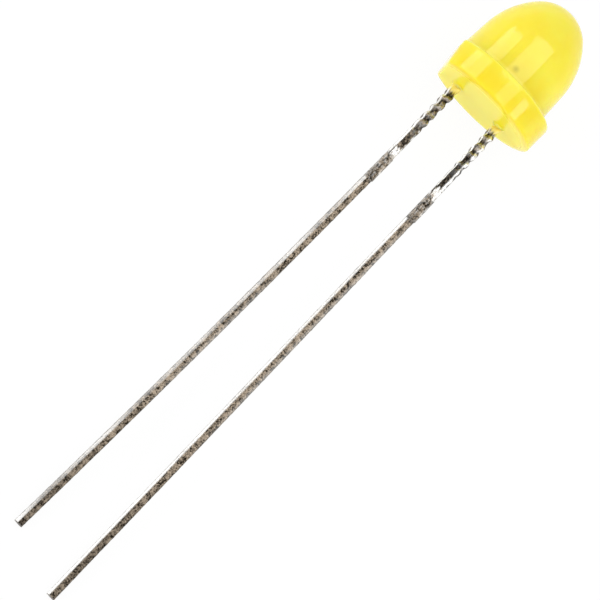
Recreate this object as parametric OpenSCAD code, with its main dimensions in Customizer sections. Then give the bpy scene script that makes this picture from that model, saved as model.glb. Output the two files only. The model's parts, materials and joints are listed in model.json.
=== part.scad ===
// A low domed through hole LED, in millimetres. One tinted epoxy casting holds a stamped lead frame:
// the cathode carries the chip in a coined reflector cup, and a gold wire joins the chip to the anode.
// It is drawn standing on its optical axis and then laid down as it comes to rest, on the lower edge
// of its flange and on both lead tips. The dome points along +X and the cathode is on the +Y side.
// The origin is the centre of the casting's underside.

/* [Lens] */
// Diameter of the flange at the foot of the lens
flange_d = 5.9; // [5.6:0.05:6.4]
// Height of the flange over the underside
flange_h = 1.45; // [1.2:0.05:1.75]
// Rounding of the flange's upper edge
flange_top_round = 0.18; // [0.04:0.01:0.24]
// Rounding of the flange's lower edge
flange_foot_round = 0.15; // [0.02:0.01:0.2]
// Distance from the optical axis to the flat that marks the cathode
flat_from_axis = 2.5; // [2.46:0.02:2.76]
// Diameter of the lens where it rises from the flange
lens_d = 4.88; // [4.6:0.02:4.9]
// Height of the dome's tip over the underside
lens_h = 5.9; // [5.3:0.05:8.6]
// Draft on the side of the lens, in degrees
lens_draft = 3; // [0.5:0.5:4]
// Height over the underside at which the drafted side turns into the dome
dome_from = 2.95; // [2:0.05:3.2]
// Radius of the dome's tip
tip_r = 1.88; // [1.2:0.02:2]
// Height of the resin that creeps down each lead
meniscus_h = 0.28; // [0.1:0.02:0.4]
// Radius of that resin where it ends on the lead
meniscus_neck_r = 0.34; // [0.34:0.01:0.4]
// Angle at which that resin meets the underside, in degrees
meniscus_contact = 20; // [10:5:40]

/* [Leads] */
// Width and thickness of a lead
lead_t = 0.45; // [0.4:0.01:0.46]
// Distance between the leads at the underside
lead_pitch = 2.54; // [2.44:0.02:2.64]
// Length of the cathode lead below the underside
cathode_length = 27.9; // [10:0.1:30]
// Length of the anode lead below the underside
anode_length = 29.2; // [10:0.1:32]
// How far the cathode lead leans outwards, in degrees
cathode_splay = 0.1; // [0:0.05:2]
// How far the anode lead leans outwards, in degrees
anode_splay = 1.35; // [0:0.05:2]
// Distance from the underside to the middle of the sheared tie bar stub
stub_from_seat = 5.15; // [3:0.05:7]
// Length of the stub along the lead
stub_length = 1.4; // [0.6:0.05:2]
// How far the stub stands out on each side of the lead
stub_proud = 0.06; // [0.02:0.01:0.15]

/* [Posts inside the lens] */
// Height at which the leads start to widen into posts
neck_z = 0.5; // [0.3:0.05:0.7]
// Height at which the posts have their full width
shoulder_z = 0.95; // [0.8:0.05:1.15]
// How far the posts reach past the outer edges of the leads
post_reach = 0.2; // [0.05:0.05:0.4]
// Bevel on the outer upper corner of each post
post_bevel = 0.2; // [0.05:0.05:0.3]
// How far the anvil reaches past the optical axis, under the cup
anvil_past_axis = 0.41; // [0.3:0.01:0.5]
// How far the anvil's shoulder lies below the rim of the cup
anvil_drop = 0.32; // [0.2:0.02:0.5]
// How far the top of the anode post lies below the rim of the cup
post_drop = 0.15; // [0:0.01:0.4]
// Clear gap between the cup and the anode post
post_gap = 0.3; // [0.2:0.02:0.4]

/* [Reflector cup] */
// Height of the cup's rim over the underside
cup_rim_z = 2.6; // [2.5:0.05:3]
// Outer diameter of the cup
cup_d = 1.1; // [1.04:0.02:1.2]
// Diameter of the cup's mouth
cup_mouth_d = 0.92; // [0.8:0.02:0.96]
// Diameter of the cup's floor
cup_floor_d = 0.52; // [0.5:0.02:0.6]
// Depth of the cup
cup_depth = 0.36; // [0.3:0.02:0.44]
// Height of the round head that the cup is coined into
cup_head_h = 0.56; // [0.5:0.02:0.66]
// Depth of the head's round underside, where it blends into the anvil
head_bowl_h = 0.25; // [0.1:0.05:0.3]

/* [Chip and bond] */
// Width of the square chip
chip_w = 0.3; // [0.2:0.01:0.32]
// Height of the chip
chip_h = 0.22; // [0.15:0.01:0.25]
// Diameter of the adhesive under the chip
adhesive_d = 0.48; // [0.46:0.01:0.49]
// Thickness of the adhesive under the chip
adhesive_t = 0.02; // [0.01:0.005:0.03]
// Diameter of the bond wire
wire_d = 0.03; // [0.02:0.005:0.05]
// Rise of the wire's loop over the chip
loop_rise = 0.34; // [0.3:0.02:0.6]
// Diameter of the ball that bonds the wire to the chip
ball_d = 0.09; // [0.07:0.01:0.12]
// Height of that ball
ball_h = 0.03; // [0.02:0.005:0.04]
// Distance from the post's inner edge to the middle of the wire's second bond
stitch_inset = 0.3; // [0.15:0.05:0.4]
// Length of the second bond
stitch_length = 0.12; // [0.08:0.01:0.16]

/* [Hidden] */
$fn = 72;

flange_r = flange_d / 2;
lens_r = lens_d / 2;
lead_y = lead_pitch / 2;
cup_r = cup_d / 2;
arc_steps = 16;          // steps in the profile of each arc of the dome
stitch_spread = 2.2;     // width of the second bond, in diameters of the wire that it is pressed from
stitch_squash = 0.8;     // and its height
loop_lean = 0.55;        // share of the way to the second bond at which the loop's second guide stands
curve_share = 0.75;      // how much of its guides' rise a cubic curve reaches

// The dome is two arcs. The shoulder arc leaves the drafted side and the tip arc crosses the axis,
// and the shoulder's radius is the one at which both arcs share a tangent.
dome_r = lens_r - (dome_from - flange_h) * tan(lens_draft);
dome_h = lens_h - dome_from;
shoulder_r = (dome_r * dome_r + dome_h * dome_h - 2 * tip_r * dome_h)
    / (2 * (dome_r * cos(lens_draft) - dome_h * sin(lens_draft) - tip_r * (1 - sin(lens_draft))));
shoulder_centre = [dome_r, dome_from] - shoulder_r * [cos(lens_draft), sin(lens_draft)];
tip_centre = [0, lens_h - tip_r];
dome_turn = atan2(tip_centre.y - shoulder_centre.y, tip_centre.x - shoulder_centre.x);

// Heights inside the lens, all hung from the rim of the cup
cup_floor_z = cup_rim_z - cup_depth;
chip_z = cup_floor_z + adhesive_t;
chip_top_z = chip_z + chip_h;
anvil_top_z = cup_rim_z - anvil_drop;
post_top_z = cup_rim_z - post_drop;
head_foot_z = cup_rim_z - cup_head_h;

// The head's underside is part of a sphere that meets its wall all round
bowl_r = (cup_r * cup_r + head_bowl_h * head_bowl_h) / (2 * head_bowl_h);

// Places across the lens, measured from the optical axis towards the lead in question
lead_outer = lead_y + lead_t / 2;
lead_inner = lead_y - lead_t / 2;
post_outer = lead_outer + post_reach;
post_inner = cup_r + post_gap;
anvil_foot = lead_inner - post_reach;      // where the anvil's sloping lower edge starts
stitch_y = -(post_inner + stitch_inset);
stitch_w = stitch_spread * wire_d;
stitch_h = stitch_squash * wire_d;

// The surface that the lamp lies on touches the flange's lower edge and one lower corner of each tip.
// Its slopes, along and across the lead plane, are those of the plane through these three points.
cathode_corner = [lead_outer + cathode_length * sin(cathode_splay), cathode_length * cos(cathode_splay)];
anode_corner = [-lead_inner - anode_length * sin(anode_splay), anode_length * cos(anode_splay)];
slope_ratio = (anode_corner.y - cathode_corner.y) / (cathode_corner.x - anode_corner.x);
slope_along = (flange_r - lead_t / 2)
    / (cathode_corner.y + slope_ratio * cathode_corner.x + flange_foot_round);
rest_lift = atan(slope_along);
rest_roll = atan(slope_along * slope_ratio);

function arc(centre, r, from, to, first = 0) =
    [for (i = [first:arc_steps]) let (a = from + (to - from) * i / arc_steps) centre + r * [cos(a), sin(a)]];

function turned(p, a) = [p.x * cos(a) - p.y * sin(a), p.x * sin(a) + p.y * cos(a)];

function reversed(list) = [for (i = [len(list) - 1:-1:0]) list[i]];

// Lays the standing lamp down on the flange and both tips
module laid_down() {
    rotate([-rest_roll, -rest_lift, 0]) rotate([0, 90, 0]) children();
}

// Stands a flat outline up in the plane of the leads, with its x across and its y along the axis
module in_lead_plane(thickness) {
    rotate([90, 0, 90]) linear_extrude(thickness, center = true) children();
}

// The half section of the casting: flange, drafted side and dome. A disc at each bevelled corner
// of the flange makes it round.
module lens_section() {
    foot = flange_foot_round;
    top = flange_top_round;
    polygon(concat(
        [[0, 0], [flange_r - foot, 0], [flange_r, foot]],
        [[flange_r, flange_h - top], [flange_r - top, flange_h], [lens_r, flange_h]],
        arc(shoulder_centre, shoulder_r, lens_draft, dome_turn),
        arc(tip_centre, tip_r, dome_turn, 90, first = 1)
    ));
    translate([flange_r - foot, foot]) circle(foot);
    translate([flange_r - top, flange_h - top]) circle(top);
}

// The resin that creeps down a lead, a hollow curve from the underside to the neck
module meniscus() {
    root = flange_foot_round;
    curve_r = meniscus_h / cos(meniscus_contact);
    reach = meniscus_neck_r + curve_r;
    rotate_extrude() difference() {
        translate([0, -meniscus_h]) square([reach, meniscus_h + root]);
        translate([reach, -meniscus_h]) circle(curve_r);
    }
}

// The casting before the frame is let into it
module casting() {
    difference() {
        union() {
            rotate_extrude() lens_section();
            for (side = [-1, 1]) translate([0, side * lead_y, 0]) meniscus();
        }
        translate([-flange_d, flat_from_axis, -flange_h]) cube([2 * flange_d, flange_d, 3 * flange_h]);
    }
}

// One edge of a lead from its tip to the underside, as offsets from the middle of the lead
function lead_edge(length) = let (
        w = lead_t / 2,
        low = -stub_from_seat - stub_length / 2,
        high = -stub_from_seat + stub_length / 2)
    [[w, -length], [w, low], [w + stub_proud, low + stub_proud],
     [w + stub_proud, high - stub_proud], [w, high], [w, 0]];

// The stamped outline of a lead and its post, drawn with x towards the lead's own side
function lead_outline(length, splay, post) = let (edge = lead_edge(length), foot = [lead_y, 0])
    concat(
        [for (p = edge) p.y == 0 ? foot + p : foot + turned(p, splay)],
        post,
        [for (p = reversed(edge)) p.y == 0 ? foot - p : foot + turned([-p.x, p.y], splay)]
    );

// The anvil's outline, from the lead's outer edge over the top to its inner edge
anvil_post = [
    [lead_outer, neck_z], [post_outer, shoulder_z],
    [post_outer, anvil_top_z - post_bevel], [post_outer - post_bevel, anvil_top_z],
    [-anvil_past_axis, anvil_top_z], [-anvil_past_axis, head_foot_z - head_bowl_h],
    [anvil_foot, shoulder_z], [lead_inner, neck_z]
];

// The anode post's outline, in the same order
anode_post = [
    [lead_outer, neck_z], [post_outer, shoulder_z],
    [post_outer, post_top_z - post_bevel], [post_outer - post_bevel, post_top_z],
    [post_inner, post_top_z], [post_inner, head_foot_z],
    [lead_inner, head_foot_z - head_bowl_h - (lead_inner - post_inner)]
];

// The round head of the anvil, before the cup is coined into it
module cup_head() {
    lowest = head_foot_z - head_bowl_h;
    intersection() {
        translate([0, 0, lowest - head_bowl_h]) cylinder(h = cup_head_h + 2 * head_bowl_h, r = cup_r);
        translate([0, 0, lowest + bowl_r]) sphere(bowl_r);
    }
}

// The cathode's strip with its anvil and the round head, coined into a conical cup
module cathode_frame() {
    difference() {
        union() {
            in_lead_plane(lead_t) polygon(lead_outline(cathode_length, cathode_splay, anvil_post));
            cup_head();
        }
        translate([0, 0, cup_floor_z])
            cylinder(h = 2 * cup_depth, d1 = cup_floor_d, d2 = 2 * cup_mouth_d - cup_floor_d);
    }
}

// The anode's strip with its flat topped post
module anode_frame() {
    in_lead_plane(lead_t)
        polygon([for (p = lead_outline(anode_length, anode_splay, anode_post)) [-p.x, p.y]]);
}

module chip_block() {
    translate([-chip_w / 2, -chip_w / 2, chip_z]) cube([chip_w, chip_w, chip_h]);
}

// The pad of conductive adhesive, drawn in a little towards the chip
module adhesive_pad() {
    translate([0, 0, cup_floor_z]) cylinder(h = adhesive_t, d1 = adhesive_d, d2 = adhesive_d - adhesive_t);
}

// The middle of the wire at t from 0 to 1: straight up from the ball, over the cup's rim and down
// to the post, as a cubic curve in the plane of the leads
wire_start = [0, chip_top_z + ball_h / 2];
wire_end = [stitch_y, post_top_z + stitch_h];
guide_rise = loop_rise / curve_share;
wire_guides = [
    wire_start,
    wire_start + [0, guide_rise],
    wire_start + [loop_lean * stitch_y, guide_rise],
    wire_end
];
wire_rings = 20;
wire_sides = 8;

function wire_point(t) = pow(1 - t, 3) * wire_guides[0] + 3 * t * pow(1 - t, 2) * wire_guides[1]
    + 3 * t * t * (1 - t) * wire_guides[2] + pow(t, 3) * wire_guides[3];

function wire_heading(t) = let (
        d = pow(1 - t, 2) * (wire_guides[1] - wire_guides[0])
            + 2 * t * (1 - t) * (wire_guides[2] - wire_guides[1])
            + t * t * (wire_guides[3] - wire_guides[2]))
    d / norm(d);

function wire_ring(t) = let (p = wire_point(t), d = wire_heading(t))
    [for (i = [0:wire_sides - 1]) let (a = 360 * i / wire_sides, n = wire_d / 2 * cos(a))
        [wire_d / 2 * sin(a), p.x - n * d.y, p.y + n * d.x]];

module wire_loop() {
    rings = [for (i = [0:wire_rings]) each wire_ring(i / wire_rings)];
    last = wire_rings * wire_sides;
    walls = [for (k = [0:wire_rings - 1], i = [0:wire_sides - 1])
        let (j = (i + 1) % wire_sides, a = k * wire_sides, b = a + wire_sides)
        each [[a + i, b + j, a + j], [a + i, b + i, b + j]]];
    polyhedron(
        points = rings,
        faces = concat(walls, [
            [for (i = [0:wire_sides - 1]) i],
            [for (i = [wire_sides - 1:-1:0]) last + i]
        ])
    );
}

// The wire with its ball on the chip and its flattened second bond on the post
module wire_form() {
    union() {
        wire_loop();
        translate([0, 0, chip_top_z]) cylinder(h = ball_h, d = ball_d);
        translate([-stitch_w / 2, stitch_y - stitch_length / 2, post_top_z])
            cube([stitch_w, stitch_length, stitch_h]);
    }
}

// The casting, with a cavity that is the exact shape of everything it is cast round
module lens() {
    color([0.98, 0.9, 0.25, 0.8]) laid_down() difference() {
        casting();
        cathode_frame();
        anode_frame();
        chip_block();
        adhesive_pad();
        wire_form();
    }
}

module cathode_lead() {
    color([0.58, 0.55, 0.5]) laid_down() cathode_frame();
}

module anode_lead() {
    color([0.58, 0.55, 0.5]) laid_down() anode_frame();
}

module chip() {
    color([0.35, 0.3, 0.25]) laid_down() chip_block();
}

module chip_adhesive() {
    color([0.75, 0.75, 0.72]) laid_down() adhesive_pad();
}

module bond_wire() {
    color([0.95, 0.75, 0.3]) laid_down() wire_form();
}

lens();
cathode_lead();
anode_lead();
chip();
chip_adhesive();
bond_wire();
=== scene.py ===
"""A low domed yellow lamp with two solder dipped leads, lying on a white table and seen from above."""

import json
import math
from collections import namedtuple

import bmesh
import bpy
from mathutils import Matrix, Vector, noise


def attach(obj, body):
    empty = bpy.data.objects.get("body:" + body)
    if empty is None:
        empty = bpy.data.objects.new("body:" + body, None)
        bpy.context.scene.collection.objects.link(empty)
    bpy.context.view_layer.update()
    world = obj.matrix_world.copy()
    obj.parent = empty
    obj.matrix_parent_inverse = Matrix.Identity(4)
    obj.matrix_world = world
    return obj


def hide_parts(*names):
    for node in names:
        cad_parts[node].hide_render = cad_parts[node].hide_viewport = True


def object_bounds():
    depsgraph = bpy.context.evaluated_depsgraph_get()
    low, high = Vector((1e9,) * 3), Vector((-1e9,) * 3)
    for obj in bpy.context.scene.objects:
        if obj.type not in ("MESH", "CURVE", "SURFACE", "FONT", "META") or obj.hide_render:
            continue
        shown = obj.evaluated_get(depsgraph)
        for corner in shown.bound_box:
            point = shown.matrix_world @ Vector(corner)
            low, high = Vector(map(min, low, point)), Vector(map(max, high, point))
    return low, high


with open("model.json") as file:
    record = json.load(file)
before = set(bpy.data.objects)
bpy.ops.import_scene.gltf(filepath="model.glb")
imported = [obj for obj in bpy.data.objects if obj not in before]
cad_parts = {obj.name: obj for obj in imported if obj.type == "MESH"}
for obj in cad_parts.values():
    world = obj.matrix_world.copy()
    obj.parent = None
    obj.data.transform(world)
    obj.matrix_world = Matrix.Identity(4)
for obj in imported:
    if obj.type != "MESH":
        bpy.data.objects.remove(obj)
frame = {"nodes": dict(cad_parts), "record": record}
cad_low, cad_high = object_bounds()

MM = 0.001
SHARP_FROM = math.radians(40)
MOUNTS = {m["name"]: m for m in frame["record"]["mounts"]}

# The lamp's own directions, from its mounts: along its axis, across its leads, and up from them
AXIS = -Vector(MOUNTS["pcb_seat"]["axis"]).normalized()
ACROSS = Vector(MOUNTS["cathode_flat"]["axis"]).normalized()
UP = AXIS.cross(ACROSS)

# The casting, in millimetres, a hair smaller than the solid that it dresses
FLANGE_R = MOUNTS["flange_rim"]["dims"]["r_mm"] - 0.001
FLANGE_H = 1.45
FLANGE_TOP_ROUND = 0.18
FLANGE_FOOT_ROUND = 0.15
FLANGE_FOOT_REACH = 0.7
FLAT_FROM_AXIS = 2.5
FLAT_LEAN = 0.2
FLAT_CORNER = 0.1
LENS_R = 2.44
LENS_H = 5.899
LENS_DRAFT = math.radians(3)
DOME_FROM = 2.95
TIP_R = 1.88
MENISCUS_H = 0.12
MENISCUS_NECK_R = 0.25
MENISCUS_SPREAD = 0.13
CASTING_SIDES = 256
# A painted dark spot that stands for the cup's shade seen through the resin: where it lies, and its radius.
CUP_SHADE_SPOT = (-2.41, -0.03, 1.85)
CUP_SHADE_SPOT_R = 0.11

# The stamped strips, in millimetres
LEAD_T = 0.45
LEAD_Y = abs(MOUNTS["cathode_tail"]["pos_m"][1]) / MM / ACROSS.y
STUB_FROM_SEAT = 5.15
STUB_LENGTH = 1.4
STUB_TOP = STUB_FROM_SEAT - STUB_LENGTH / 2
STUB_FOOT = STUB_FROM_SEAT + STUB_LENGTH / 2
STUB_PROUD = 0.04
NECK_Z = 0.5
SHOULDER_Z = 0.95
POST_REACH = 0.2
POST_BEVEL = 0.2
CUP_RIM_Z = 2.6
CUP_R = 0.55
CUP_MOUTH_R = 0.46
CUP_FLOOR_R = 0.26
CUP_DEPTH = 0.36
CUP_HEAD_H = 0.56
HEAD_BOWL_H = 0.25
ANVIL_TOP_Z = CUP_RIM_Z - 0.32
POST_TOP_Z = CUP_RIM_Z - 0.15
POST_INNER = CUP_R + 0.3
ANVIL_PAST_AXIS = 0.41
HEAD_Z = CUP_RIM_Z - CUP_HEAD_H

# The solder on the strips: how round it makes their edges, and its ridges next to the lens
SQUARENESS = 4.5
RIDGE_PITCH = 0.54
RIDGE_H = 0.075
RIDGES_TO = 2.9
RESIN_FILM_TO = 0.5

# What differs from lead to lead. Places across a lead run from -1 at its anode side to 1 at its cathode side.
# The edge is the painted highlight strip along the cathode side: where it starts and ends, and how bright it is.
# The flank is the painted highlight on the anode side above the stub: how far across and how far down it starts.
# Farther down, from light_from on, that side gets only a little painted light. Shade is how dark the painted shade
# makes the lead above its stub.
Lead = namedtuple("Lead", "mount side seed bow edge_from edge_to edge_shine flank flank_from light_from shade")
CATHODE = Lead("cathode_tail", 1, 0, 0.12, 0.36, 0.9, 0.45, -0.92, 2.3, 11, 0.55)
ANODE = Lead("anode_tail", -1, 7, 0.015, 0.58, 1.2, 0.9, -0.42, 0.3, 5, 0.95)

# The photograph's view: how far the camera tips towards the leads, and what it aims at
CAMERA_TIP = math.radians(11.3)
FRAME_WIDTH = 26.49
AIM_BEHIND_SEAT = 11.9
AIM_TOWARDS_ANODE = 0.495
CAMERA_LENS = 815

# The soft lamps: bearing, height, width and tallness in degrees, and glow, as make_softbox takes them
SOFTBOXES = {
    "left_softbox": (49, 12, 23, 28, 1.7),
    "left_strip": (68, 12, 15, 28, 2.45),
    "front_softbox": (-10, 30.5, 46, 27, 1.8),
    "low_softbox": (-20, 7, 23, 17, 1.5),
    "right_strip": (-57, 4, 17, 24, 2.8),
    "tail_left_softbox": (58, -44, 44, 40, 1.8),
    "tail_right_softbox": (-70, -44, 36, 40, 1.9),
}
SOFTBOX_DISTANCE = 0.3


def laid_down():
    """The matrix that takes the standing lamp, in millimetres, to where it lies, in metres."""
    turn = Matrix((-UP, ACROSS, AXIS)).transposed().to_4x4()
    return turn @ Matrix.Scale(MM, 4)


def arc(centre, radius, start, end, steps):
    """Points along an arc in a section, from one angle to another."""
    return [
        (centre[0] + radius * math.cos(a), centre[1] + radius * math.sin(a))
        for a in (start + (end - start) * i / steps for i in range(steps + 1))
    ]


def finished(name, bm, material):
    """Lays a mesh down, makes it an object with its finish, and lets it ride on the lamp's body."""
    bmesh.ops.transform(bm, matrix=laid_down(), verts=bm.verts)
    bmesh.ops.recalc_face_normals(bm, faces=bm.faces)
    mesh = bpy.data.meshes.new(name)
    bm.to_mesh(mesh)
    bm.free()
    mesh.shade_smooth()
    mesh.set_sharp_from_angle(angle=SHARP_FROM)
    mesh.materials.append(material)
    piece = bpy.data.objects.new(name, mesh)
    bpy.context.scene.collection.objects.link(piece)
    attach(piece, "root")
    return piece


def spun(bm, section, sides):
    """Turns a section of (radius, height) points round the lamp's axis into a closed skin."""
    points = [bm.verts.new((r, 0, z)) for r, z in section]
    edges = [bm.edges.new(pair) for pair in zip(points, points[1:])]
    bmesh.ops.spin(
        bm, geom=points + edges, cent=(0, 0, 0), axis=(0, 0, 1),
        angle=math.tau, steps=sides, use_merge=True,
    )
    bmesh.ops.remove_doubles(bm, verts=bm.verts, dist=1e-5)


def dome_section():
    """The dome from the drafted side to the tip, as two arcs with one tangent where they meet."""
    r = LENS_R - (DOME_FROM - FLANGE_H) * math.tan(LENS_DRAFT)
    h = LENS_H - DOME_FROM
    cos, sin = math.cos(LENS_DRAFT), math.sin(LENS_DRAFT)
    shoulder = (r * r + h * h - 2 * TIP_R * h) / (2 * (r * cos - h * sin - TIP_R * (1 - sin)))
    centre = (r - shoulder * cos, DOME_FROM - shoulder * sin)
    tip = (0, LENS_H - TIP_R)
    turn = math.atan2(tip[1] - centre[1], tip[0] - centre[0])
    return arc(centre, shoulder, LENS_DRAFT, turn, 24) + arc(tip, TIP_R, turn, math.pi / 2, 24)[1:]


def casting_section():
    """The casting's section from the middle of its underside, out over the flange and up to the tip."""
    quarter = math.pi / 2
    foot, top = FLANGE_FOOT_ROUND, FLANGE_TOP_ROUND
    underside_rings = 112
    reach = FLANGE_R - FLANGE_FOOT_REACH
    underside = [(reach * i / underside_rings, 0) for i in range(underside_rings)]
    corner = 0.05
    step = arc((LENS_R + corner, FLANGE_H + corner), corner, -quarter, -2 * quarter, 4)
    return (
        underside
        + [(reach + FLANGE_FOOT_REACH * x, foot * z) for x, z in arc((0, 1), 1, -quarter, 0, 10)]
        + [(FLANGE_R, 1.5 * foot), (FLANGE_R, FLANGE_H - 2.5 * top)]
        + arc((FLANGE_R - top, FLANGE_H - top), top, 0, quarter, 6)
        + step
        + dome_section()
    )


def creep(point):
    """How far the resin creeps down the lead nearest to a point of the underside."""
    aside = math.hypot(point.x, abs(point.y) - LEAD_Y) - MENISCUS_NECK_R
    return MENISCUS_H * (1 - min(1, max(0, aside / MENISCUS_SPREAD))) ** 2.5


def rounded_in(height):
    """How far the flat draws in at a height of the flange: it leans in to its foot, and its edges are round."""
    foot, top = FLANGE_FOOT_ROUND, FLAT_FROM_AXIS - LENS_R
    lean = FLAT_LEAN * max(0, 1 - height / FLANGE_H) ** 1.8
    low = max(0, foot - height)
    high = max(0, min(top, height - FLANGE_H + top))
    return lean + foot - math.sqrt(foot ** 2 - low ** 2) + top - math.sqrt(top ** 2 - high ** 2)


def at_foot(point):
    """1 on the round of the flange's foot, fading out inwards and up the wall."""
    inward = FLANGE_R - point.xy.length
    return (1 - fade(inward, 0.1, 0.35)) * (1 - fade(point.z, 0.5 * FLANGE_FOOT_ROUND, 1.6 * FLANGE_FOOT_ROUND))


def pressed(point):
    """How far across a point of the flange lies once the flat is pressed into it."""
    flat = FLAT_FROM_AXIS - rounded_in(point.z) - FLAT_CORNER
    beyond = max(0, point.y - flat)
    return point.y - (beyond - FLAT_CORNER * (1 - math.exp(-beyond / FLAT_CORNER)))


def make_casting(resin):
    """The casting: a spun skin with the flat pressed into its flange, and the resin that creeps down the leads.

    Its points carry how far the resin's colours apply: a painted rim light on the foot's lower side and on the resin
    down the leads, a painted rim shade on the foot's upper side, and warm at the leads' roots.
    """
    bm = bmesh.new()
    spun(bm, casting_section(), CASTING_SIDES)
    rim_light_layer = bm.verts.layers.float.new("thin_rim")
    rim_shade_layer = bm.verts.layers.float.new("deep_rim")
    root_layer = bm.verts.layers.float.new("root")
    for v in bm.verts:
        # A painted rim light on the lower side of the flange's foot.
        v[rim_light_layer] = at_foot(v.co) * fade(v.co.x, 0, 2.4)
        # A painted rim shade on the upper side of the flange's foot.
        v[rim_shade_layer] = at_foot(v.co) * fade(-v.co.x, 0, 2.4)
        if v.co.z < FLANGE_H + 0.01:
            v.co.y = pressed(v.co)
        if abs(v.co.z) < 1e-6:
            from_lead = math.hypot(v.co.x, abs(v.co.y) - LEAD_Y)
            v[root_layer] = 1 - fade(from_lead, 0.35, 1.0)
            v.co.z = -creep(v.co)
            # More painted rim light on the resin that creeps down the leads.
            v[rim_light_layer] = max(v[rim_light_layer], -2 * v.co.z / MENISCUS_H)
    piece = finished("lens_casting", bm, resin)
    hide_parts("lens")


def fade(value, start, end):
    """0 before start, 1 past end, and a smooth rise between them."""
    t = min(1, max(0, (value - start) / (end - start)))
    return t * t * (3 - 2 * t)


def between(value, start, end, blend):
    """1 from start to end, 0 outside, with a smooth change over the blend at both."""
    return fade(value, start - blend, start) * (1 - fade(value, end, end + blend))


def ridged_share(depth):
    """1 where the solder stands in ridges, and 0 past them."""
    return 1 - fade(depth, 0.75 * RIDGES_TO, 1.2 * RIDGES_TO)


def coat(angle, depth, seed):
    """How thick the solder is at a place on a lead, in millimetres, and how deep in a groove between ridges."""
    place = Vector((math.cos(angle), math.sin(angle), depth * 2.2 + seed))
    ridged = ridged_share(depth)
    turn = math.tau * depth / RIDGE_PITCH + angle + 2.4 * noise.noise(place * 1.1)
    ridge = 0.5 + 0.5 * math.cos(turn)
    rough = noise.noise(place * 2) * 0.012 + noise.noise(place * 5) * 0.01 - 0.01
    return ridged * (RIDGE_H * ridge ** 1.5 - 0.04) + rough, ridged * (1 - ridge) ** 2


def sheen(across, depth, groove, lead):
    """How bright its painted highlights and how dark its painted shade and dark spots make the solder at a place on a
    lead, each from 0 to 1.

    It gets a painted highlight just above the stub, with a painted dark line of shade along it, and dark spots just
    below it; painted highlights also lie along its edges and on its ridge crests, and painted shade in its grooves.
    """
    drift = noise.noise(Vector((across, lead.seed, depth * 0.45)))
    fleck = noise.noise(Vector((across * 3, lead.seed, depth * 7)))
    above = 1 - fade(depth, STUB_TOP - 0.3, STUB_TOP)
    on_stub = between(depth, STUB_TOP, STUB_FOOT, 0.1)
    # A painted highlight strip along the cathode side, brighter just above the stub and dimmed on it.
    edge = between(across, lead.edge_from + 0.26 * above, lead.edge_to + 0.4 * above, 0.14)
    edge *= (lead.edge_shine + 0.5 * drift + 0.15 * fade(depth, 20, 24) + 0.4 * above) * (1 - 0.85 * on_stub)
    # A painted highlight on the anode side above the stub, weaker in the grooves.
    flank = between(-across, -lead.flank, 0.86 + 0.5 * fleck, 0.15)
    flank *= between(depth, lead.flank_from, STUB_TOP, 0.2) * (1 - 0.9 * groove) * (0.9 + fleck)
    # A painted highlight just above the stub, with a painted dark line of shade along its cathode side.
    above_stub_band = between(depth + 0.25 * fleck, STUB_TOP - 0.45, STUB_TOP - 0.1, 0.1)
    line = above_stub_band * between(across, lead.edge_from + 0.1, lead.edge_from + 0.28, 0.1)
    highlight_above_stub = above_stub_band * (0.75 + 0.8 * fleck)
    shaded = between(depth, 2.1, STUB_TOP - 0.6, 0.4) * (lead.shade + fleck)
    stub_light = on_stub * (0.3 * fade(abs(across), 0.6, 1) + 0.6 * fleck)
    # Painted light: the anode side a little lighter farther down.
    lighter = 0.18 * fade(-across, 0.1, 0.9)
    lighter *= fade(depth, lead.light_from, lead.light_from + 3) * (1 - fade(depth, 16, 21))
    # Painted highlights on the crests of the solder's ridges.
    crest = (1 - groove) ** 3 * ridged_share(depth) * (0.16 + 0.4 * fleck)
    spots = between(depth, STUB_FOOT - 0.25, STUB_FOOT + 0.1, 0.1) * (0.3 + 1.6 * fleck)
    # The lead is darker towards its cut end.
    darker_end = 0.4 * fade(depth, 20, 27) * (1 + fleck)
    on_side = fade(abs(across), 0.955, 0.985)
    # bright gathers the painted highlights, kept off the side faces.
    bright = max(edge, flank, highlight_above_stub, stub_light, lighter, crest, 0) * (1 - line) * (1 - 0.85 * on_side)
    # dark gathers painted shade in the grooves, above the stub and along the painted line, with dark spots, flecks and
    # the darker end.
    dark = max(groove * (0.9 + 0.8 * fleck), shaded, spots, darker_end, 0.9 * line, -on_stub * fleck, 0)
    return min(1, bright), min(1, dark)


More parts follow.
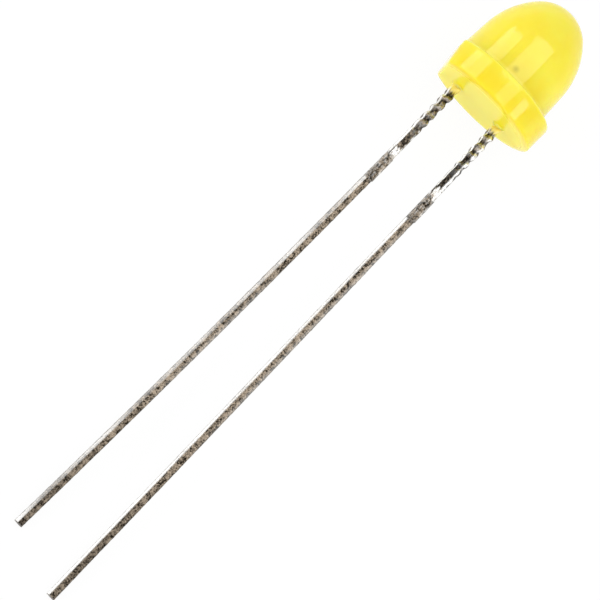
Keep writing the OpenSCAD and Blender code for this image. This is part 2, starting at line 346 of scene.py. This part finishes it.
def tail(lead):
    """One square lead with its stub, from its cut tip to just inside the casting."""
    length, splay = MOUNTS[lead.mount]["dims"]["length_mm"], tail_splay(lead.mount)
    rings, sides, inside = 620, 40, 0.25
    bm = bmesh.new()
    bmesh.ops.create_cone(
        bm, cap_ends=True, segments=sides, radius1=1, radius2=1, depth=length + inside,
        matrix=Matrix.Translation((0, 0, (inside - length) / 2)),
    )
    rails = [e for e in bm.edges if abs(e.verts[0].co.z - e.verts[1].co.z) > length / 2]
    bmesh.ops.subdivide_edges(bm, edges=rails, cuts=rings, use_grid_fill=True)
    bright_layer = bm.verts.layers.float.new("bright")
    dark_layer = bm.verts.layers.float.new("dark")
    film_layer = bm.verts.layers.float.new("film")
    lean = Matrix.Rotation(lead.side * splay, 4, "X")
    for v in bm.verts:
        angle = math.atan2(v.co.y, v.co.x)
        cos, sin, depth = math.cos(angle), math.sin(angle), -v.co.z
        reach = (abs(cos) ** SQUARENESS + abs(sin) ** SQUARENESS) ** (-1 / SQUARENESS)
        swell, groove = coat(angle, depth, lead.seed)
        if depth > length - 0.01 or depth < 0:
            swell = 0
        from_stub = abs(depth - STUB_FROM_SEAT)
        proud = STUB_PROUD * min(1, max(0, (STUB_LENGTH / 2 - from_stub) / STUB_PROUD)) * (1 - fade(sin, -0.2, 0.3))
        # The bright and dark layers carry the painted highlights and painted shade that sheen gives.
        v[bright_layer], v[dark_layer] = sheen(reach * sin, depth, groove, lead)
        v[film_layer] = 1 - fade(depth + 0.15 * noise.noise(v.co * 4), 0.6 * RESIN_FILM_TO, 1.1 * RESIN_FILM_TO)
        v.co.x = (LEAD_T / 2 + swell) * reach * cos
        v.co.y = (LEAD_T / 2 + swell + proud) * reach * sin
        if depth > 0:
            v.co.y -= lead.bow * 4 * depth / length * (1 - depth / length)
            v.co = lean @ v.co
        v.co.y += lead.side * LEAD_Y
    return bm


def stamped(outline):
    """A flat outline of (across, height) points in the lead plane, given the strip's thickness."""
    bm = bmesh.new()
    face = bm.faces.new([bm.verts.new((-LEAD_T / 2, y, z)) for y, z in outline])
    made = bmesh.ops.extrude_face_region(bm, geom=[face])
    lifted = [g for g in made["geom"] if isinstance(g, bmesh.types.BMVert)]
    bmesh.ops.translate(bm, verts=lifted, vec=(LEAD_T, 0, 0))
    bmesh.ops.recalc_face_normals(bm, faces=bm.faces)
    return bm


def cup_head():
    """The round head of the anvil, with the conical cup coined into it."""
    bowl_r = (CUP_R ** 2 + HEAD_BOWL_H ** 2) / (2 * HEAD_BOWL_H)
    bowl = (0, HEAD_Z - HEAD_BOWL_H + bowl_r)
    floor_z = CUP_RIM_Z - CUP_DEPTH
    bm = bmesh.new()
    spun(bm, [
        (0, floor_z), (CUP_FLOOR_R, floor_z), (CUP_MOUTH_R, CUP_RIM_Z), (CUP_R, CUP_RIM_Z),
        *arc(bowl, bowl_r, math.atan2(HEAD_Z - bowl[1], CUP_R), -math.pi / 2, 8),
    ], 64)
    bmesh.ops.recalc_face_normals(bm, faces=bm.faces)
    return bm


def fused(*shells):
    """One closed skin from overlapping ones, as a bmesh."""
    scene = bpy.context.scene
    parts = []
    for shell in shells:
        mesh = bpy.data.meshes.new("shell")
        shell.to_mesh(mesh)
        shell.free()
        parts.append(bpy.data.objects.new("shell", mesh))
        scene.collection.objects.link(parts[-1])
    for part in parts[1:]:
        join = parts[0].modifiers.new("join", "BOOLEAN")
        join.operation = "UNION"
        join.solver = "EXACT"
        join.object = part
    depsgraph = bpy.context.evaluated_depsgraph_get()
    bm = bmesh.new()
    bm.from_object(parts[0], depsgraph)
    for part in parts:
        bpy.data.meshes.remove(part.data)
    return bm


def make_cathode(tin):
    outer, inner = LEAD_Y + LEAD_T / 2, LEAD_Y - LEAD_T / 2
    reach = outer + POST_REACH
    anvil = stamped([
        (outer, 0.1), (outer, NECK_Z), (reach, SHOULDER_Z), (reach, ANVIL_TOP_Z - POST_BEVEL),
        (reach - POST_BEVEL, ANVIL_TOP_Z), (-ANVIL_PAST_AXIS, ANVIL_TOP_Z),
        (-ANVIL_PAST_AXIS, HEAD_Z - HEAD_BOWL_H), (inner - POST_REACH, SHOULDER_Z),
        (inner, NECK_Z), (inner, 0.1),
    ])
    bm = fused(tail(CATHODE), anvil, cup_head())
    piece = finished("cathode_strip", bm, tin)
    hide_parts("cathode_lead")


def make_anode(tin):
    outer, inner = LEAD_Y + LEAD_T / 2, LEAD_Y - LEAD_T / 2
    reach = outer + POST_REACH
    outline = [
        (outer, 0.1), (outer, NECK_Z), (reach, SHOULDER_Z), (reach, POST_TOP_Z - POST_BEVEL),
        (reach - POST_BEVEL, POST_TOP_Z), (POST_INNER, POST_TOP_Z), (POST_INNER, HEAD_Z),
        (inner, HEAD_Z - HEAD_BOWL_H - inner + POST_INNER), (inner, 0.1),
    ]
    post = stamped([(-y, z) for y, z in outline])
    bm = fused(tail(ANODE), post)
    piece = finished("anode_strip", bm, tin)
    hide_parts("anode_lead")


def tail_splay(mount):
    """How far a lead leans out of line with the lamp's axis, from its mount."""
    heading = Vector(MOUNTS[mount]["axis"])
    return math.atan2(abs(heading.dot(ACROSS)), -heading.dot(AXIS))


class Reading:
    """A shader socket that takes part in sums: each operator adds its Math node."""

    def __init__(self, finish, socket):
        self.finish, self.socket = finish, socket

    def sum(self, operation, first, second):
        return self.finish.node("ShaderNodeMath", {"operation": operation}, {0: first, 1: second})

    def __add__(self, other):
        return self.sum("ADD", self, other)

    def __sub__(self, other):
        return self.sum("SUBTRACT", self, other)

    def __rsub__(self, other):
        return self.sum("SUBTRACT", other, self)

    def __mul__(self, other):
        return self.sum("MULTIPLY", self, other)

    __radd__ = __add__
    __rmul__ = __mul__


class Finish:
    """A material under construction."""

    def __init__(self, name, **constants):
        self.material = bpy.data.materials.new(name)
        self.material.use_nodes = True
        self.tree = self.material.node_tree
        self.shader = self.tree.nodes["Principled BSDF"]
        for socket, value in constants.items():
            self.shader.inputs[socket.replace("_", " ")].default_value = value

    def node(self, kind, settings, sockets, output=0):
        """Adds a node: its settings first, then the values or links of its sockets. Gives back one output."""
        made = self.tree.nodes.new(kind)
        for name, value in settings.items():
            if name == "stops":
                self.set_stops(made.color_ramp, value)
            else:
                setattr(made, name, value)
        for name, value in sockets.items():
            if isinstance(value, Reading):
                self.tree.links.new(value.socket, made.inputs[name])
            else:
                made.inputs[name].default_value = value
        return Reading(self, made.outputs[output])

    @staticmethod
    def set_stops(ramp, stops):
        while len(ramp.elements) < len(stops):
            ramp.elements.new(0.5)
        for element, (place, level) in zip(ramp.elements, stops):
            element.position = place
            element.color = (level, level, level, 1)

    def feed(self, socket, reading):
        self.tree.links.new(reading.socket, self.shader.inputs[socket])

    def place(self):
        return self.node("ShaderNodeTexCoord", {}, {}, "Object")

    def height(self):
        """Millimetres up the lamp's axis from the seat."""
        toward = self.node("ShaderNodeVectorMath", {"operation": "DOT_PRODUCT"}, {0: self.place(), 1: AXIS}, "Value")
        return toward * (1 / MM)

    def layer(self, name):
        """A value stored on the mesh's points."""
        return self.node("ShaderNodeAttribute", {"attribute_name": name}, {}, "Fac")

    def speckle(self, scale, detail, roughness=0.5):
        """Noise over the object, in bumps of about 1 / scale metres."""
        return self.node(
            "ShaderNodeTexNoise", {},
            {"Vector": self.place(), "Scale": scale, "Detail": detail, "Roughness": roughness}, "Fac",
        )

    def ramp(self, reading, *stops):
        return self.node("ShaderNodeValToRGB", {"stops": stops}, {"Fac": reading})

    def mix(self, share, first, second):
        return self.node(
            "ShaderNodeMix", {"data_type": "RGBA"}, {"Factor": share, 6: first, 7: second}, 2
        )

    def bump(self, height, depth):
        return self.node("ShaderNodeBump", {}, {"Height": height, "Distance": depth, "Strength": 1.0})


def resin_finish():
    """Diffused yellow epoxy: warmer in the flange, milkier in the dome, glossy but for its matt underside.

    It has painted light that makes it paler below and along the step, a painted rim shade in amber and a painted rim
    light at the flange's foot, a painted shade spot of the cup, and it is warm at the leads' roots.
    """
    finish = Finish(
        "diffused_yellow_epoxy", IOR=1.5, Subsurface_Weight=0.85, Subsurface_Scale=0.0006,
        Subsurface_Radius=(1.0, 0.8, 0.1), Transmission_Weight=0.15,
    )
    height = finish.height()
    cloud = finish.ramp(finish.speckle(700, 2), (0.3, 0), (0.7, 1))
    flange = finish.mix(cloud, (0.87, 0.70, 0.008, 1), (0.87, 0.76, 0.03, 1))
    dome = finish.mix(cloud, (0.88, 0.74, 0.03, 1), (0.88, 0.79, 0.06, 1))
    in_dome = finish.ramp((height + 0.6 * cloud) * 0.2, (0.22, 0), (0.48, 1))
    colour = finish.mix(in_dome, flange, dome)
    # A painted light makes the underside paler; the same share also makes it matt.
    underside = finish.ramp(height * 4 + 0.5, (0.52, 1), (0.72, 0))
    below = finish.mix(0.7 * underside, colour, (1.0, 0.85, 0.03, 1))
    # A painted rim shade in amber at the foot's upper side.
    edged = finish.mix(0.5 * finish.layer("deep_rim"), below, (0.80, 0.60, 0.0, 1))
    warmed = finish.mix(0.6 * finish.layer("root"), edged, (1.0, 0.82, 0.0, 1))
    # A painted light along the step, paler where its corner lies in shade.
    at_step = finish.ramp(height * (0.725 / FLANGE_H), (0.65, 0), (0.70, 1), (0.78, 1), (0.84, 0))
    stepped = finish.mix(0.5 * at_step, warmed, (1.0, 0.90, 0.12, 1))
    # A painted rim light, paler, at the foot's lower side and down the leads.
    rimmed = finish.mix(0.25 * finish.layer("thin_rim"), stepped, (0.98, 0.90, 0.30, 1))
    # A painted dark spot, the cup's shade seen through the resin; it is a little rougher too.
    aside = finish.node(
        "ShaderNodeVectorMath", {"operation": "DISTANCE"}, {0: finish.place(), 1: laid_down() @ Vector(CUP_SHADE_SPOT)}, "Value",
    )
    cup_shade_spot = finish.ramp(aside * (0.5 / CUP_SHADE_SPOT_R / MM), (0.1, 1), (0.95, 0))
    finish.feed("Base Color", finish.mix(0.6 * cup_shade_spot, rimmed, (0.45, 0.38, 0.0, 1)))
    gloss = 0.05 + 0.06 * finish.speckle(2500, 2)
    finish.feed("Roughness", gloss + underside * 0.28 + 0.2 * cup_shade_spot)
    finish.feed("Normal", finish.bump(finish.speckle(3000, 3), 0.000004))
    return finish.material


def tin_finish():
    """Solder dipped strip: dull olive brown and finely pitted, with painted highlights and painted shade from the
    strip's bright and dark layers.
    """
    finish = Finish("solder_dipped_strip")
    grain = finish.speckle(11500, 3, 0.6)
    blotch = finish.speckle(3600, 2)
    pitted = finish.ramp(0.6 * grain + 0.4 * blotch, (0.42, 0), (0.58, 1))
    dull = finish.mix(pitted, (0.016, 0.012, 0.007, 1), (0.38, 0.31, 0.235, 1))
    shaded = finish.mix(finish.layer("dark"), dull, (0.012, 0.010, 0.008, 1))
    bright, film = finish.layer("bright"), finish.layer("film")
    # Painted highlights: near white where the bright layer is.
    lit = finish.mix(bright, shaded, (0.98, 0.97, 0.95, 1))
    finish.feed("Base Color", finish.mix(0.88 * film, lit, (0.96, 0.78, 0.17, 1)))
    finish.feed("Metallic", 1 - 0.7 * film - 0.6 * bright)
    finish.feed("Roughness", (0.28 + 0.3 * blotch) * (1 - 0.4 * bright))
    finish.feed("Normal", finish.bump(grain, 0.00003))
    return finish.material


def plain_finish(name, colour, **constants):
    """A finish for a small inner piece, with a slight grain."""
    finish = Finish(name, **constants)
    grain = finish.speckle(20000, 2)
    darker = tuple(0.8 * c for c in colour[:3]) + (1,)
    finish.feed("Base Color", finish.mix(grain, darker, colour))
    return finish.material


def table_finish():
    """White table: the camera, gloss and glass see it near white, and it keeps a faint shadow."""
    finish = Finish("white_table", Roughness=0.9, Specular_IOR_Level=0.1)
    finish.shader.inputs["Base Color"].default_value = (0.93, 0.93, 0.93, 1)
    ray = finish.node("ShaderNodeLightPath", {}, {}, "Is Camera Ray")
    gloss = Reading(finish, ray.socket.node.outputs["Is Glossy Ray"])
    glass = Reading(finish, ray.socket.node.outputs["Is Transmission Ray"])
    seen = finish.node("ShaderNodeMath", {"operation": "ADD", "use_clamp": True}, {0: ray + gloss, 1: glass})
    white = finish.node("ShaderNodeEmission", {}, {"Color": (1, 1, 1, 1), "Strength": 1.0})
    mixed = finish.node(
        "ShaderNodeMixShader", {}, {0: seen * 0.93, 1: Reading(finish, finish.shader.outputs[0]), 2: white}
    )
    output = finish.tree.nodes["Material Output"]
    finish.tree.links.new(mixed.socket, output.inputs["Surface"])
    return finish.material


def make_table():
    """A plain white table top under the lamp."""
    half = 0.6
    bm = bmesh.new()
    bmesh.ops.create_grid(bm, x_segments=1, y_segments=1, size=half)
    mesh = bpy.data.meshes.new("table")
    bm.to_mesh(mesh)
    bm.free()
    mesh.transform(Matrix.Translation((0, 0, cad_low.z)))
    mesh.materials.append(table_finish())
    table = bpy.data.objects.new("table", mesh)
    bpy.context.scene.collection.objects.link(table)


def make_camera():
    """A long lens over the lamp, tipped towards the leads and turned so that the lamp points up to the right."""
    towards = math.cos(CAMERA_TIP) * UP - math.sin(CAMERA_TIP) * AXIS
    lamp_in_view = math.cos(CAMERA_TIP) * AXIS + math.sin(CAMERA_TIP) * UP
    right = (lamp_in_view - ACROSS).normalized()
    upward = (lamp_in_view + ACROSS).normalized()
    data = bpy.data.cameras.new("camera")
    data.lens = CAMERA_LENS
    data.clip_start = 0.01
    distance = FRAME_WIDTH * MM * data.lens / data.sensor_width
    aim = -(AIM_BEHIND_SEAT * AXIS + AIM_TOWARDS_ANODE * ACROSS) * MM
    camera = bpy.data.objects.new("camera", data)
    bpy.context.scene.collection.objects.link(camera)
    turn = Matrix((right, upward, towards)).transposed().to_4x4()
    camera.matrix_world = Matrix.Translation(aim + distance * towards) @ turn
    bpy.context.scene.camera = camera


def make_softbox(name, bearing, height, width, tall, glow):
    """A soft lamp seen from the lens at a bearing round its axis and a height towards its dome, in degrees.

    Its width and its height are angles too, and glow is how bright its face is beside white paper.
    """
    turn, rise = math.radians(bearing), math.radians(height)
    towards = math.cos(rise) * (math.cos(turn) * UP + math.sin(turn) * ACROSS) + math.sin(rise) * AXIS
    sideways = ACROSS * math.cos(turn) - UP * math.sin(turn)
    upright = towards.cross(sideways)
    data = bpy.data.lights.new(name, "AREA")
    data.shape = "RECTANGLE"
    data.size = 2 * SOFTBOX_DISTANCE * math.tan(math.radians(width) / 2)
    data.size_y = 2 * SOFTBOX_DISTANCE * math.tan(math.radians(tall) / 2)
    data.energy = glow * math.pi * data.size * data.size_y
    lamp = bpy.data.objects.new(name, data)
    bpy.context.scene.collection.objects.link(lamp)
    face = Matrix((sideways, upright, towards)).transposed().to_4x4()
    lamp.matrix_world = Matrix.Translation(SOFTBOX_DISTANCE * towards) @ face


def make_surroundings():
    """A white room: it looks white, and lights the lamp evenly."""
    world = bpy.data.worlds.new("white_room")
    world.use_nodes = True
    bpy.context.scene.world = world
    nodes, links = world.node_tree.nodes, world.node_tree.links
    background = nodes["Background"]
    background.inputs["Color"].default_value = (1, 1, 1, 1)
    background.inputs["Strength"].default_value = 0.75
    white = nodes.new("ShaderNodeBackground")
    white.inputs["Color"].default_value = (1, 1, 1, 1)
    ray = nodes.new("ShaderNodeLightPath")
    mix = nodes.new("ShaderNodeMixShader")
    links.new(ray.outputs["Is Camera Ray"], mix.inputs[0])
    links.new(background.outputs[0], mix.inputs[1])
    links.new(white.outputs[0], mix.inputs[2])
    links.new(mix.outputs[0], nodes["World Output"].inputs["Surface"])


def dress_inner_pieces():
    """Gives the chip, its adhesive and its wire their finishes."""
    finishes = {
        "chip": plain_finish("sawn_crystal", (0.30, 0.20, 0.10, 1), Roughness=0.35),
        "chip_adhesive": plain_finish("silver_paste", (0.70, 0.69, 0.66, 1), Metallic=0.8, Roughness=0.5),
        "bond_wire": plain_finish("drawn_gold", (0.95, 0.70, 0.28, 1), Metallic=1.0, Roughness=0.25),
    }
    for node, material in finishes.items():
        for slot in frame["nodes"][node].material_slots:
            slot.material = material


make_camera()
make_surroundings()
for softbox, setting in SOFTBOXES.items():
    make_softbox(softbox, *setting)
make_table()
make_casting(resin_finish())
tin = tin_finish()
make_cathode(tin)
make_anode(tin)
dress_inner_pieces()

scene = bpy.context.scene
scene.view_settings.view_transform = "Standard"
